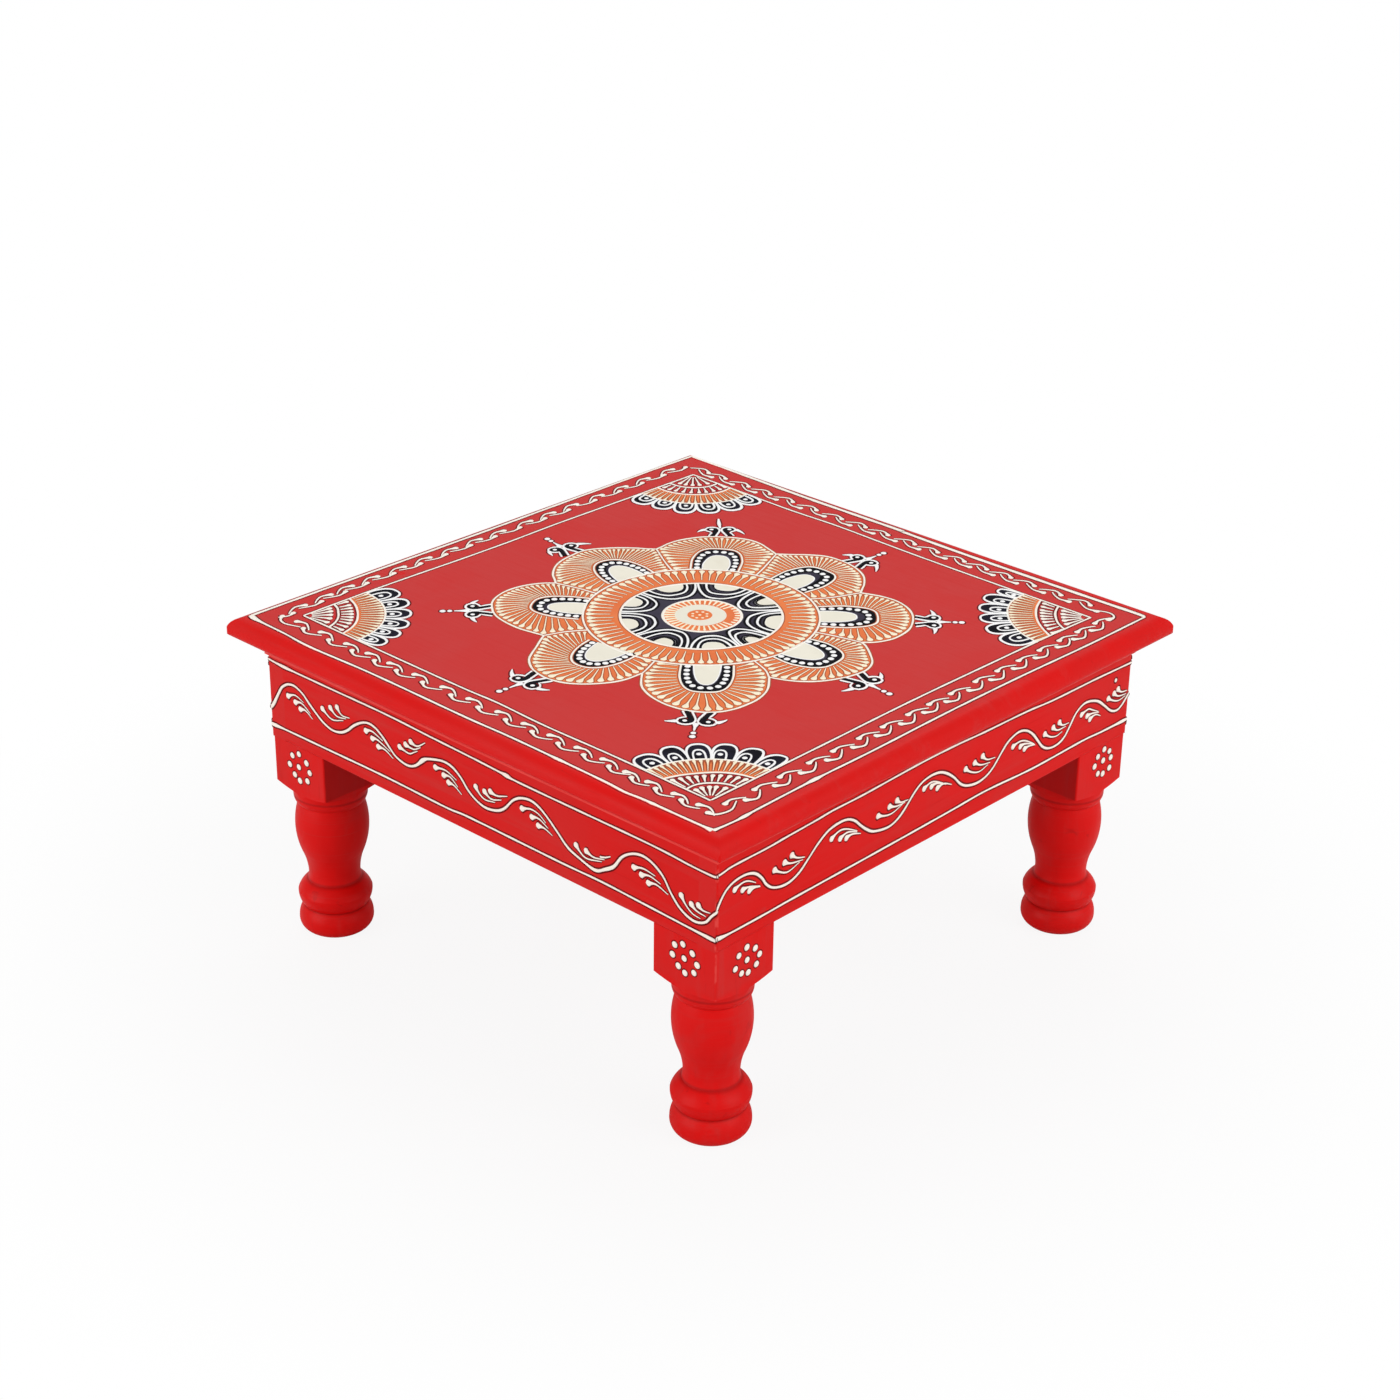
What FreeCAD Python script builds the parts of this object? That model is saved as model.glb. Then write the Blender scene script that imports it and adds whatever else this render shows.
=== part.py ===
import FreeCAD, Part
import math
import os

# Bajot low table: a square moulded board nailed to an apron frame with four turned legs.
# Millimetres, +Z up, origin on the floor at the centre of the footprint, front at -Y.

# Overall size
table_side = 304.8
table_height = 159.0

# Top board: its edge rounds over to a nose, turns under in a small chin and slopes back to
# a narrow lip that stands proud of the aprons
top_thickness = 18.0
edge_radius = 6.8
chin_radius = 2.5
corner_radius = 1.2
lip_height = 0.9
lip_width = 1.0

# Apron boards, set in from the top board's edge
frame_inset = 12.9
apron_height = 41.2
apron_thickness = 10.0
arris_radius = 0.8

# Legs: square stock with a turned lower part
leg_side = 35.0
block_setback = 0.4
block_drop = 22.6

# Turned outline from the floor up: height as a share of the turned length, radius as a
# share of half the leg's side. Each arc goes through its first point to its second.
foot_base_share = 0.80
turned_arc_shares = (
    ((0.028, 0.945), (0.078, 1.000)),
    ((0.128, 0.958), (0.167, 0.853)),
    ((0.206, 0.956), (0.260, 0.994)),
    ((0.299, 0.905), (0.336, 0.724)),
    ((0.364, 0.697), (0.391, 0.691)),
    ((0.456, 0.726), (0.521, 0.809)),
    ((0.719, 0.983), (0.868, 0.880)),
    ((0.893, 0.958), (0.927, 0.983)),
)
shoulder_shares = (0.970, 1.015)

# Wire nails, set below the face and covered with filler
nail_diameter = 1.8
nail_head_diameter = 3.6
nail_head_thickness = 0.7
nail_point_length = 2.6
nail_set_depth = 1.5
apron_nail_length = 28.0
top_nail_length = 40.0
nail_stagger = 5.0

# Nail places: heights as shares of the apron, places along an apron as shares of half of it
long_apron_nail_shares = (0.20, 0.70)
short_apron_nail_shares = (0.36, 0.86)
top_nail_shares = (-0.45, 0.45)

# How far cutting shapes pass the faces that they cut
overrun = 2.0

# Heights and places that follow from the sizes above
top_underside = table_height - top_thickness
apron_bottom = top_underside - apron_height
turned_length = apron_bottom - block_drop
half_frame = table_side / 2 - frame_inset
apron_inner = half_frame - apron_thickness
leg_axis = half_frame - block_setback - leg_side / 2
post_side = apron_inner - (leg_axis - leg_side / 2)
post_axis = apron_inner - post_side / 2
corner_signs = ((-1, -1), (1, -1), (1, 1), (-1, 1))


def vector(x, y, z):
    return FreeCAD.Vector(x, y, z)


def box(low, high):
    size = high - low
    return Part.makeBox(size.x, size.y, size.z, low)


def arc_edge(start, through, end):
    return Part.Arc(start, through, end).toShape()


def line_edge(start, end):
    return Part.LineSegment(start, end).toShape()


def revolved(edges):
    face = Part.Face(Part.Wire(edges))
    return face.revolve(vector(0, 0, 0), vector(0, 0, 1), 360)


def eased(shape, wanted):
    # Rounds the straight edges whose middle the test accepts
    edges = [edge for edge in shape.Edges if wanted(edge.CenterOfMass)]
    return shape.makeFillet(arris_radius, edges)


def rounded_square(side, radius, bottom, top):
    half = side / 2
    block = box(vector(-half, -half, bottom), vector(half, half, top))
    upright = [edge for edge in block.Edges if abs(edge.CenterOfMass.x) > half - radius
               and abs(edge.CenterOfMass.y) > half - radius]
    return block.makeFillet(radius, upright)


def moulded_half():
    # One side of the board's section, from the flat's rim down to the underside
    def on_circle(centre, radius, angle):
        return centre + vector(radius * math.cos(angle), 0, radius * math.sin(angle))

    nose_z = table_height - edge_radius
    edge_centre = vector(table_side / 2 - edge_radius, 0, nose_z)
    chin_centre = vector(table_side / 2 - chin_radius, 0, nose_z)
    lip = vector(half_frame + lip_width, 0, top_underside + lip_height)
    foot = vector(lip.x, 0, top_underside)
    # The slope from the lip touches the chin's circle at this angle
    reach = lip - chin_centre
    slope_angle = math.atan2(reach.z, reach.x) + math.acos(chin_radius / reach.Length)
    rim = on_circle(edge_centre, edge_radius, math.radians(90))
    over = on_circle(edge_centre, edge_radius, math.radians(45))
    nose = on_circle(chin_centre, chin_radius, 0)
    under = on_circle(chin_centre, chin_radius, slope_angle / 2)
    chin = on_circle(chin_centre, chin_radius, slope_angle)
    edges = [arc_edge(rim, over, nose), arc_edge(nose, under, chin),
             line_edge(chin, lip), line_edge(lip, foot)]
    return edges, rim, foot


def board_blank():
    # The same section run along both directions meets in mitred corners, softened in plan
    half, rim, foot = moulded_half()
    mirrored = [edge.mirror(vector(0, 0, 0), vector(1, 0, 0)) for edge in half]
    bridge = [line_edge(rim, vector(-rim.x, 0, rim.z)), line_edge(foot, vector(-foot.x, 0, foot.z))]
    section = Part.Face(Part.Wire(Part.__sortEdges__(half + mirrored + bridge)))
    run = table_side / 2 + overrun
    section.translate(vector(0, -run, 0))
    along_y = section.extrude(vector(0, 2 * run, 0))
    along_x = along_y.copy()
    along_x.rotate(vector(0, 0, 0), vector(0, 0, 1), 90)
    plan = rounded_square(table_side, corner_radius, top_underside - overrun,
                          table_height + overrun)
    return along_y.common(along_x).common(plan)


def long_apron(side):
    # Left and right boards run the full depth, so their ends show on the front and back
    low = vector(apron_inner, -half_frame, apron_bottom)
    high = vector(half_frame, half_frame, top_underside)
    board = box(low, high)
    board = eased(board, lambda middle: middle.x > half_frame - arris_radius
                  and middle.z < top_underside - arris_radius)
    return board if side > 0 else board.mirror(vector(0, 0, 0), vector(1, 0, 0))


def short_apron(side):
    # Front and back boards fit between the long ones
    low = vector(-apron_inner, apron_inner, apron_bottom)
    high = vector(apron_inner, half_frame, top_underside)
    board = box(low, high)
    board = eased(board, lambda middle: middle.y > half_frame - arris_radius
                  and middle.z < apron_bottom + arris_radius)
    return board if side > 0 else board.mirror(vector(0, 0, 0), vector(0, 1, 0))


def turned_point(height_share, radius_share):
    return vector(radius_share * leg_side / 2, 0, height_share * turned_length)


def turned_body():
    # Foot, ring, vase and collar on the leg's own axis
    point = turned_point(0, foot_base_share)
    edges = [line_edge(vector(0, 0, 0), point)]
    for through, end in turned_arc_shares:
        edges.append(arc_edge(point, turned_point(*through), turned_point(*end)))
        point = turned_point(*end)
    apex = vector(0, 0, point.z)
    edges.append(line_edge(point, apex))
    edges.append(line_edge(apex, vector(0, 0, 0)))
    return revolved(edges), point


def leg_block(collar):
    # The square stock with its lower corners turned away to a shoulder above the collar
    shoulder = turned_point(*shoulder_shares)
    corner = leg_side / 2 * math.sqrt(2)
    slope = (corner - shoulder.x) / (turned_length - shoulder.z)
    wide = corner + overrun
    cone_top = shoulder.z + (wide - shoulder.x) / slope
    base = vector(0, 0, collar.z)
    rim = vector(wide, 0, cone_top)
    lid = vector(wide, 0, top_underside)
    apex = vector(0, 0, top_underside)
    turning = revolved([line_edge(base, collar), line_edge(collar, shoulder),
                        line_edge(shoulder, rim), line_edge(rim, lid), line_edge(lid, apex),
                        line_edge(apex, base)])
    stock = rounded_square(leg_side, arris_radius, collar.z, top_underside)
    return stock.common(turning)


def leg(x_sign, y_sign):
    # Made for the +X +Y corner, where the aprons sit on the rebates, and mirrored into place
    turned, collar = turned_body()
    whole = turned.fuse(leg_block(collar)).removeSplitter()
    whole.translate(vector(leg_axis, leg_axis, 0))
    reach = half_frame + overrun
    top = top_underside + overrun
    inner = leg_axis - leg_side / 2 - overrun
    whole = whole.cut(box(vector(apron_inner, inner, apron_bottom), vector(reach, reach, top)))
    whole = whole.cut(box(vector(inner, apron_inner, apron_bottom), vector(reach, reach, top)))
    if x_sign < 0:
        whole = whole.mirror(vector(0, 0, 0), vector(1, 0, 0))
    if y_sign < 0:
        whole = whole.mirror(vector(0, 0, 0), vector(0, 1, 0))
    return whole


def nail_and_plug(length):
    # A nail set under its filler plug, driven down from the origin
    shank = nail_diameter / 2
    head = nail_head_diameter / 2
    head_top = -nail_set_depth
    head_foot = head_top - nail_head_thickness
    tip = head_top - length
    outline = [vector(0, 0, head_top), vector(head, 0, head_top), vector(head, 0, head_foot),
               vector(shank, 0, head_foot), vector(shank, 0, tip + nail_point_length),
               vector(0, 0, tip), vector(0, 0, head_top)]
    nail = revolved([line_edge(a, b) for a, b in zip(outline, outline[1:])])
    plug = Part.makeCylinder(head, nail_set_depth, vector(0, 0, head_top))
    return nail, plug


def driven(length, places):
    # Copies of one nail and its plug, each at a point of a face and along a direction
    nail, plug = nail_and_plug(length)
    nails, plugs = [], []
    for point, direction in places:
        turn = FreeCAD.Rotation(vector(0, 0, -1), direction)
        for shape, group in ((nail, nails), (plug, plugs)):
            copy = shape.copy()
            copy.Placement = FreeCAD.Placement(point, turn)
            group.append(copy)
    return nails, plugs


def apron_nail_places():
    # Two nails through each apron end into the post behind it, staggered side to side
    places = []
    for x_sign, y_sign in corner_signs:
        for index in (0, 1):
            shift = post_axis + (nail_stagger if index else -nail_stagger)
            long_z = apron_bottom + long_apron_nail_shares[index] * apron_height
            short_z = apron_bottom + short_apron_nail_shares[index] * apron_height
            places.append((vector(x_sign * half_frame, y_sign * shift, long_z),
                           vector(-x_sign, 0, 0)))
            places.append((vector(x_sign * shift, y_sign * half_frame, short_z),
                           vector(0, -y_sign, 0)))
    return places


def top_nail_places():
    # One nail into each post and two into each apron's upper edge
    down = vector(0, 0, -1)
    places = [(vector(x * post_axis, y * post_axis, table_height), down) for x, y in corner_signs]
    apron_middle = half_frame - apron_thickness / 2
    for share in top_nail_shares:
        for side in (-1, 1):
            along = share * half_frame
            places.append((vector(side * apron_middle, along, table_height), down))
            places.append((vector(along, side * apron_middle, table_height), down))
    return places


def build():
    parts = {"top_board": board_blank(), "apron_left": long_apron(-1), "apron_right": long_apron(1),
             "apron_front": short_apron(-1), "apron_back": short_apron(1)}
    for x_sign, y_sign in corner_signs:
        depth = "front" if y_sign < 0 else "back"
        side = "left" if x_sign < 0 else "right"
        parts[f"leg_{depth}_{side}"] = leg(x_sign, y_sign)
    apron_nails, apron_plugs = driven(apron_nail_length, apron_nail_places())
    top_nails, top_plugs = driven(top_nail_length, top_nail_places())
    holes = apron_nails + apron_plugs + top_nails + top_plugs
    for name, shape in parts.items():
        near = [hole for hole in holes if shape.BoundBox.intersect(hole.BoundBox)]
        parts[name] = shape.cut(near)
    parts["apron_nails"] = Part.makeCompound(apron_nails)
    parts["apron_nail_plugs"] = Part.makeCompound(apron_plugs)
    parts["top_nails"] = Part.makeCompound(top_nails)
    parts["top_nail_plugs"] = Part.makeCompound(top_plugs)
    return parts


os.makedirs("parts", exist_ok=True)
for name, shape in build().items():
    solids = shape.Solids
    if len(solids) == 1:
        shape = solids[0]
    shape.exportStep(f"parts/{name}.step")
    state = "valid" if shape.isValid() else "INVALID"
    print(name, len(solids), "solids", round(shape.Volume), "mm3", state)
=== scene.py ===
import math

import bpy
import numpy as np
from mathutils import Matrix, Vector


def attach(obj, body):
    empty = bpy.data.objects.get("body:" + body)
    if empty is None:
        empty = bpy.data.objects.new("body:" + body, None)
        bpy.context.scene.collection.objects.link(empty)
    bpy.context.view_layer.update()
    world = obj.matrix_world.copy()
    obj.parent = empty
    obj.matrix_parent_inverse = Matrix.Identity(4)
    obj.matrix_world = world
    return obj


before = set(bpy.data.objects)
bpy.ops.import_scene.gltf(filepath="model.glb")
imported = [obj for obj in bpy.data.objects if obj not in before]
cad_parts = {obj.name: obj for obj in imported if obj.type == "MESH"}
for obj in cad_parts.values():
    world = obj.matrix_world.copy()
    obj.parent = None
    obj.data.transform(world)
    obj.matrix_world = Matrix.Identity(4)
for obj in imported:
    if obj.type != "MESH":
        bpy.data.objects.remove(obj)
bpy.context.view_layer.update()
scene = bpy.context.scene

# Bajot low table: enamelled board, aprons and turned legs from the frame, with raised cone-work
# lines and painted fills laid on them. Ornament is in millimetres, plan x and y on the top, and
# along the face and up from the top plane on the sides.
TOP_Z, FLAT_RIM, EDGE_RADIUS = 159.0, 145.6, 6.8
# How far out the faces of the aprons and of the leg blocks stand
FACE, BLOCK_FACE = 139.5, 139.1
# Ornament goes over this share of the rounded edge, and this far past an upright face's end
EDGE_SHARE, OVERRUN = 0.98, 0.4
MM = 0.001

draw = np.random.RandomState(20)


# Faces that carry ornament
def pairs(numbers):
    """A flat run of numbers as points, two by two."""
    return np.array(numbers, float).reshape(-1, 2)


def turned(points, quarter):
    """Plan points turned about the table's middle by quarter turns."""
    x, y = points[..., 0].copy(), points[..., 1].copy()
    for _ in range(quarter):
        x, y = -y, x
    return np.stack([x, y], axis=-1)


# Raised work is seen a little beyond its foot, so places read off the surface are moved by this
SEEN_TOP = np.array([0.32, -0.34])
SEEN_SIDE = ((0.22, 0.155), (-0.26, 0.165), (0.22, 0.155), (-0.26, 0.165))


class Top:
    """The board's flat and the start of its rounded edge."""

    def place(self, spots):
        spots = spots + SEEN_TOP
        past = np.maximum(np.abs(spots) - FLAT_RIM, 0)
        reach = np.minimum(past.max(axis=-1), EDGE_RADIUS * EDGE_SHARE)
        fall = np.sqrt(EDGE_RADIUS ** 2 - reach ** 2)
        z = TOP_Z - EDGE_RADIUS + fall
        lean = np.where(past >= past.max(axis=-1, keepdims=True), past, 0) * np.sign(spots)
        lean = np.where(reach[..., None] > 0, lean, 0)
        normal = np.concatenate([lean, fall[..., None]], axis=-1)
        normal /= np.linalg.norm(normal, axis=-1, keepdims=True)
        return np.concatenate([spots, z[..., None]], axis=-1), normal


class Side:
    """An upright face: quarter 0 is the front, then right, back and left."""

    def __init__(self, quarter, out=FACE):
        self.quarter, self.out = quarter, out

    def place(self, spots):
        spots = spots + np.array(SEEN_SIDE[self.quarter])
        reach = np.clip(spots[..., 0], -FACE - OVERRUN, FACE + OVERRUN)
        flat = np.stack([reach, np.full(spots.shape[:-1], -self.out)], axis=-1)
        plan = turned(flat, self.quarter)
        normal = turned(np.array([0.0, -1.0]), self.quarter)
        points = np.concatenate([plan, TOP_Z + spots[..., 1:2]], axis=-1)
        normals = np.broadcast_to(np.append(normal, 0.0), points.shape)
        return points, normals


TOP = Top()
SIDES = [Side(k) for k in range(4)]


# Meshes
def put(name, data):
    """Makes an object of its data and brings it into the scene."""
    thing = bpy.data.objects.new(name, data)
    scene.collection.objects.link(thing)
    return thing


class Piece:
    """Gathers skins in millimetres and makes one object of them.

    Its halo is the piece that holds the dark band beside its strokes: painted shade in dark red and dark
    orange, and a black band beside the bows.
    """

    def __init__(self, name, halo=None, halo_rise=0.03, halo_reach=0.7, broad=0.28):
        self.name, self.verts, self.faces, self.count = name, [], [], 0
        self.halo, self.halo_rise, self.halo_reach = halo, halo_rise, halo_reach
        self.broad = broad

    def halo_top(self):
        """The halo's height, a hair different from its neighbours' so that they don't coincide."""
        return self.halo_rise + 0.004 * (len(self.halo.verts) % 7)

    def skin(self, rings, closed=False):
        """Joins rings (n, m, 3) side by side, with a cap on each end unless the row is closed."""
        n, m = rings.shape[:2]
        index = self.count + np.arange(n * m).reshape(n, m)
        if closed:
            index = np.concatenate([index, index[:1]])
        ahead = np.roll(index, -1, axis=1)
        quads = np.stack([index[:-1], index[1:], ahead[1:], ahead[:-1]], axis=-1)
        self.faces.extend(quads.reshape(-1, 4).tolist())
        if not closed:
            self.faces.append(index[0].tolist())
            self.faces.append(index[-1][::-1].tolist())
        self.verts.append(rings.reshape(-1, 3))
        self.count += n * m

    def build(self, material, smooth):
        """Makes the object, which rides on the table's one body."""
        mesh = bpy.data.meshes.new(self.name)
        mesh.from_pydata((np.concatenate(self.verts) * MM).tolist(), [], self.faces)
        mesh.update()
        mesh.polygons.foreach_set("use_smooth", [smooth] * len(mesh.polygons))
        mesh.materials.append(material)
        piece = put(self.name, mesh)
        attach(piece, "root")


# How deep strokes and paint are set into the surface, and what share of a stroke's height is built
EMBED, RELIEF = 0.25, 0.6
# Strokes on the top that run this way are a little broader than those that run across it
ACROSS = np.array([0.73, 0.68])
# A stroke's section and its dark edge's, in shares of half-width and of height
SECTION = np.array([(-1.0, -1.0), (-0.97, 0.28), (-0.62, 0.79), (0.0, 1.0),
                    (0.62, 0.79), (0.97, 0.28), (1.0, -1.0)])
EDGE_SECTION = np.array([(-1.0, -1.0), (-1.0, 1.0), (1.0, 1.0), (1.0, -1.0)])


def smooth_path(points, closed=False, per_span=10):
    """A Catmull-Rom curve through the points, as a dense polyline."""
    knots = np.asarray(points, float)
    if closed:
        knots = np.concatenate([knots[-1:], knots, knots[:2]])
    else:
        knots = np.concatenate([2 * knots[:1] - knots[1:2], knots, 2 * knots[-1:] - knots[-2:-1]])
    t = np.arange(per_span)[:, None] / per_span
    out = []
    for a, b, c, d in zip(knots, knots[1:], knots[2:], knots[3:]):
        out.append(0.5 * (2 * b + (c - a) * t + (2 * a - 5 * b + 4 * c - d) * t ** 2
                          + (3 * b - a - 3 * c + d) * t ** 3))
    return np.concatenate(out + [knots[-2:-1]])


def along(path):
    """Distance along a polyline at each of its points."""
    return np.concatenate([[0], np.cumsum(np.linalg.norm(np.diff(path, axis=0), axis=1))])


def ribbon(piece, face, path, places, half, height, closed=False):
    """A domed ribbon on a face, with its foot set into the surface."""
    run = along(path)
    centre = np.stack([np.interp(places, run, path[:, k]) for k in (0, 1)], axis=-1)
    slope = np.gradient(path, run, axis=0)
    tangent = np.stack([np.interp(places, run, slope[:, k]) for k in (0, 1)], axis=-1)
    tangent /= np.maximum(np.linalg.norm(tangent, axis=1, keepdims=True), 1e-9)
    across = np.stack([-tangent[:, 1], tangent[:, 0]], axis=-1)
    half = half * (1 + piece.broad * (tangent @ ACROSS) ** 2)
    spots = centre[:, None] + across[:, None] * (SECTION[:, 0] * half[:, None])[..., None]
    rise = np.where(SECTION[:, 1] > 0, SECTION[:, 1] * height[:, None] * RELIEF, -EMBED)
    points, normals = face.place(spots)
    piece.skin(points + normals * rise[..., None], closed)
    if piece.halo:
        # A narrow dark band on both sides of the stroke: painted shade in dark red and dark orange, and a
        # black band beside the bows
        wide = half + piece.halo_reach * (0.3 + 0.7 * np.minimum(half / 0.55, 1))
        spots = centre[:, None] + across[:, None] * (EDGE_SECTION[:, 0] * wide[:, None])[..., None]
        points, normals = face.place(spots)
        rise = np.where(EDGE_SECTION[:, 1] > 0, piece.halo_top(), -EMBED)
        piece.halo.skin(points + normals * rise[None, :, None], closed)


# Where sections stand on a stroke's rounded end, as angles round it
END = np.radians([18, 42, 68, 90])
# Share of a line's width that the hand's waver adds or takes
WAVER = 0.07


def rounded_ends(total, first, last, count):
    """Places along a stroke, and the share of its width at each, with both ends rounded off."""
    middle = np.linspace(first, total - last, count)[1:-1]
    rise = 1 - np.cos(END)
    places = np.concatenate([first * rise, middle, total - last * rise[::-1]])
    return places, np.concatenate([np.sin(END), np.ones_like(middle), np.sin(END)[::-1]])


def line(piece, face, points, half, height, closed=False, swells=(), step=1.6):
    """A raised line of nearly even width. Each swell is (place along, extra half-width, reach)."""
    path = smooth_path(points, closed)
    total = along(path)[-1]
    slow, quick = draw.uniform(0, 6.28, 3)[:2]
    if closed:
        places = np.linspace(0, total, max(int(total / step), 12), endpoint=False)
        share = np.ones_like(places)
        # Whole waves, so that the line's two ends meet at one width
        pulse = np.sin(places / total * 2 * math.pi * round(total / 27) + slow)
    else:
        places, share = rounded_ends(total, half, half, max(int(total / step), 3))
        pulse = np.sin(places / 4.3 + slow) + 0.7 * np.sin(places / 1.9 + quick)
    width = half * (1 + WAVER * pulse)
    for place, extra, reach in swells:
        width = width + extra * np.exp(-((places - place) / reach) ** 2)
    ribbon(piece, face, path, places, width * share, height * (0.75 + 0.25 * width / half) * share ** 0.6,
           closed)


def drop(piece, face, points, head, waist, tail, neck=1.1, back=0.0):
    """A comma stroke: a round head at the first point, a neck, then a body drawn out thin.

    Head, waist and tail are half-widths, and back moves the head's tip out along the stroke.
    """
    points = np.array(points, float)
    lead = points[0] - points[1]
    points[0] += lead / np.linalg.norm(lead) * back
    path = smooth_path(points, per_span=8)
    total = along(path)[-1]
    head = min(head, total * 0.42)
    places, share = rounded_ends(total, head, tail, max(int(total / 1.3), 4))
    past = np.clip(places - head, 0, None)
    body = waist + (tail - waist) * (past / (total - head)) ** 1.3
    width = body + (head - waist) * np.exp(-(past / (neck * head)) ** 1.6)
    ribbon(piece, face, path, places, width * share, (0.22 + 0.3 * width) * share ** 0.6)


def dot(piece, face, centre, radius, height):
    """A low dome."""
    turn = np.linspace(0, 2 * math.pi, 14, endpoint=False)
    ray = np.stack([np.cos(turn), np.sin(turn)], axis=-1)
    centre = np.asarray(centre, float)
    rings = []
    for share, rise in ((1.0, None), (0.985, 0.3), (0.86, 0.66), (0.55, 0.92), (0.18, 1.0)):
        points, normals = face.place(centre + ray * (radius * share))
        rings.append(points + normals * (-EMBED if rise is None else rise * (height * RELIEF)))
    piece.skin(np.stack(rings)[:, ::-1])
    # Painted shade: a dark band round the dot
    if piece.halo:
        points, normals = face.place(centre + ray * (radius + piece.halo_reach))
        edge = np.stack([points - normals * EMBED, points + normals * piece.halo_top()])
        piece.halo.skin(edge[:, ::-1])


def film(piece, outline, height):
    """A thin painted patch on the top."""
    spots = np.asarray(outline, float)
    ahead = np.roll(spots, -1, axis=0)
    if np.sum(spots[:, 0] * ahead[:, 1] - spots[:, 1] * ahead[:, 0]) < 0:
        spots = spots[::-1]
    points, _ = TOP.place(spots)
    low, high = points.copy(), points.copy()
    low[:, 2] -= EMBED
    high[:, 2] += height
    piece.skin(np.stack([high, low]))


def band(piece, centre, inner, outer, height):
    """A thin painted ring round a centre."""
    turn = np.radians(np.linspace(0, 360, 120, endpoint=False))
    ray = np.stack([np.cos(turn), np.sin(turn)], axis=-1)
    corners = []
    for radius, rise in ((outer, -EMBED), (outer, height), (inner, height), (inner, -EMBED)):
        points, _ = TOP.place(np.asarray(centre, float) + ray * radius)
        points[:, 2] += rise
        corners.append(points)
    piece.skin(np.stack(corners, axis=1), closed=True)


def polar(centre, radius, degrees):
    a = math.radians(degrees)
    return np.array([centre[0] + radius * math.cos(a), centre[1] + radius * math.sin(a)])


def spoke(centre, *places):
    """Points round a centre, each place a radius and an angle."""
    return [polar(centre, radius, a) for radius, a in places]


def axes(degrees):
    """The direction at an angle, and the one to its left."""
    a = math.radians(degrees)
    return np.array([math.cos(a), math.sin(a)]), np.array([-math.sin(a), math.cos(a)])


def circle(centre, radius, count=48):
    return [polar(centre, radius, a) for a in np.linspace(0, 360, count, endpoint=False)]


# Pieces
# Painted shade beside the strokes, in dark red and dark orange, and the black band beside the bows
painted_shade_red = Piece("painted_shade_edges_red")
painted_shade_orange = Piece("painted_shade_edges_orange")
black_edges = Piece("paint_edges_black")
bows = Piece("mandala_bows", black_edges, 0.12, 1.05)
mandala = Piece("mandala_rings", painted_shade_orange, 0.09, 0.42)
rays = Piece("mandala_rays", painted_shade_orange, 0.09, 0.42)
petals = Piece("petal_lines", painted_shade_orange, 0.09, 0.42)
tongues = Piece("petal_tongues")
petal_rays = Piece("petal_rays", painted_shade_orange, 0.09, 0.42)
fleurs = Piece("fleur_lines", painted_shade_red)
fans = Piece("fan_lines", painted_shade_red)
lobe_lines = Piece("fan_lobes", painted_shade_red, broad=0.45)
fan_rays = Piece("fan_rays", painted_shade_orange, 0.09)
borders = Piece("border_lines", painted_shade_red)
chain = Piece("border_chain", painted_shade_red)
orange = Piece("paint_orange")
navy = Piece("paint_navy")
midnight = Piece("paint_midnight")
black = Piece("paint_black")
cream = Piece("paint_cream")
leaves = Piece("navy_leaves")
centre_dots = Piece("centre_dots")
flowers = Piece("leg_flowers", painted_shade_red, halo_reach=0.5)
vines = [Piece(f"{name}_vine", painted_shade_red, broad=0.0) for name in ("front", "right", "back", "left")]

# Heights of the paints: the petals' ground, orange, navy, what lies on the navy, the tongues, the
# middle and the flower in it
GROUND, ORANGE, NAVY, OVER_NAVY, CREAM, CENTRE, TOPMOST = 0.05, 0.06, 0.10, 0.12, 0.14, 0.15, 0.19
# How many rays the middle and the ring have, beads a tongue, and strokes and rays a fan
INNER_RAYS, RING_RAYS, BEADS, FAN_STROKES, FAN_RAYS = 38, 76, 14, 10, 19

# Mandala
# The bows' centre and the ring's, and the radii of the ring's two edges
MIDDLE, HUB = (-1.8, 1.4), (-1.8, 1.0)
RIM, RING = 36.9, 53.8


def bow(first, last, middle, low, power=2.6, centre=MIDDLE, rim=RIM):
    """A bow between two angles on a rim, which it leaves for the low radius at the middle angle."""
    pts = []
    for t in np.linspace(180, 0, 17):
        c, s = math.cos(math.radians(t)), math.sin(math.radians(t))
        side, deep = math.copysign(abs(c) ** (2 / power), c), abs(s) ** (2 / power)
        reach = last - middle if c > 0 else middle - first
        pts.append(polar(centre, rim - (rim - low) * deep, middle + side * reach))
    return pts


def u_shape(base, axis, length, half, foot, power):
    """A round-ended outline open at its base: from one foot round the tip to the other."""
    out, left = axes(axis)
    narrow = 1 - foot / half
    pts = []
    for t in np.linspace(-90, 90, 15):
        c, s = math.cos(math.radians(t)), math.sin(math.radians(t))
        along_axis = abs(c) ** (2 / power)
        aside = half * math.copysign(abs(s) ** (2 / power), s)
        aside *= 1 - narrow * max(1 - along_axis / 0.4, 0) ** 2
        pts.append(np.asarray(base) + out * length * along_axis + left * aside)
    return pts


band(orange, HUB, RIM, RING, ORANGE)
band(navy, MIDDLE, 18.0, RIM, NAVY)
band(orange, (-1.5, 1.2), 11.0, 18.1, OVER_NAVY)
film(cream, circle((-2.2, 0.9), 11.8), CENTRE)

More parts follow.
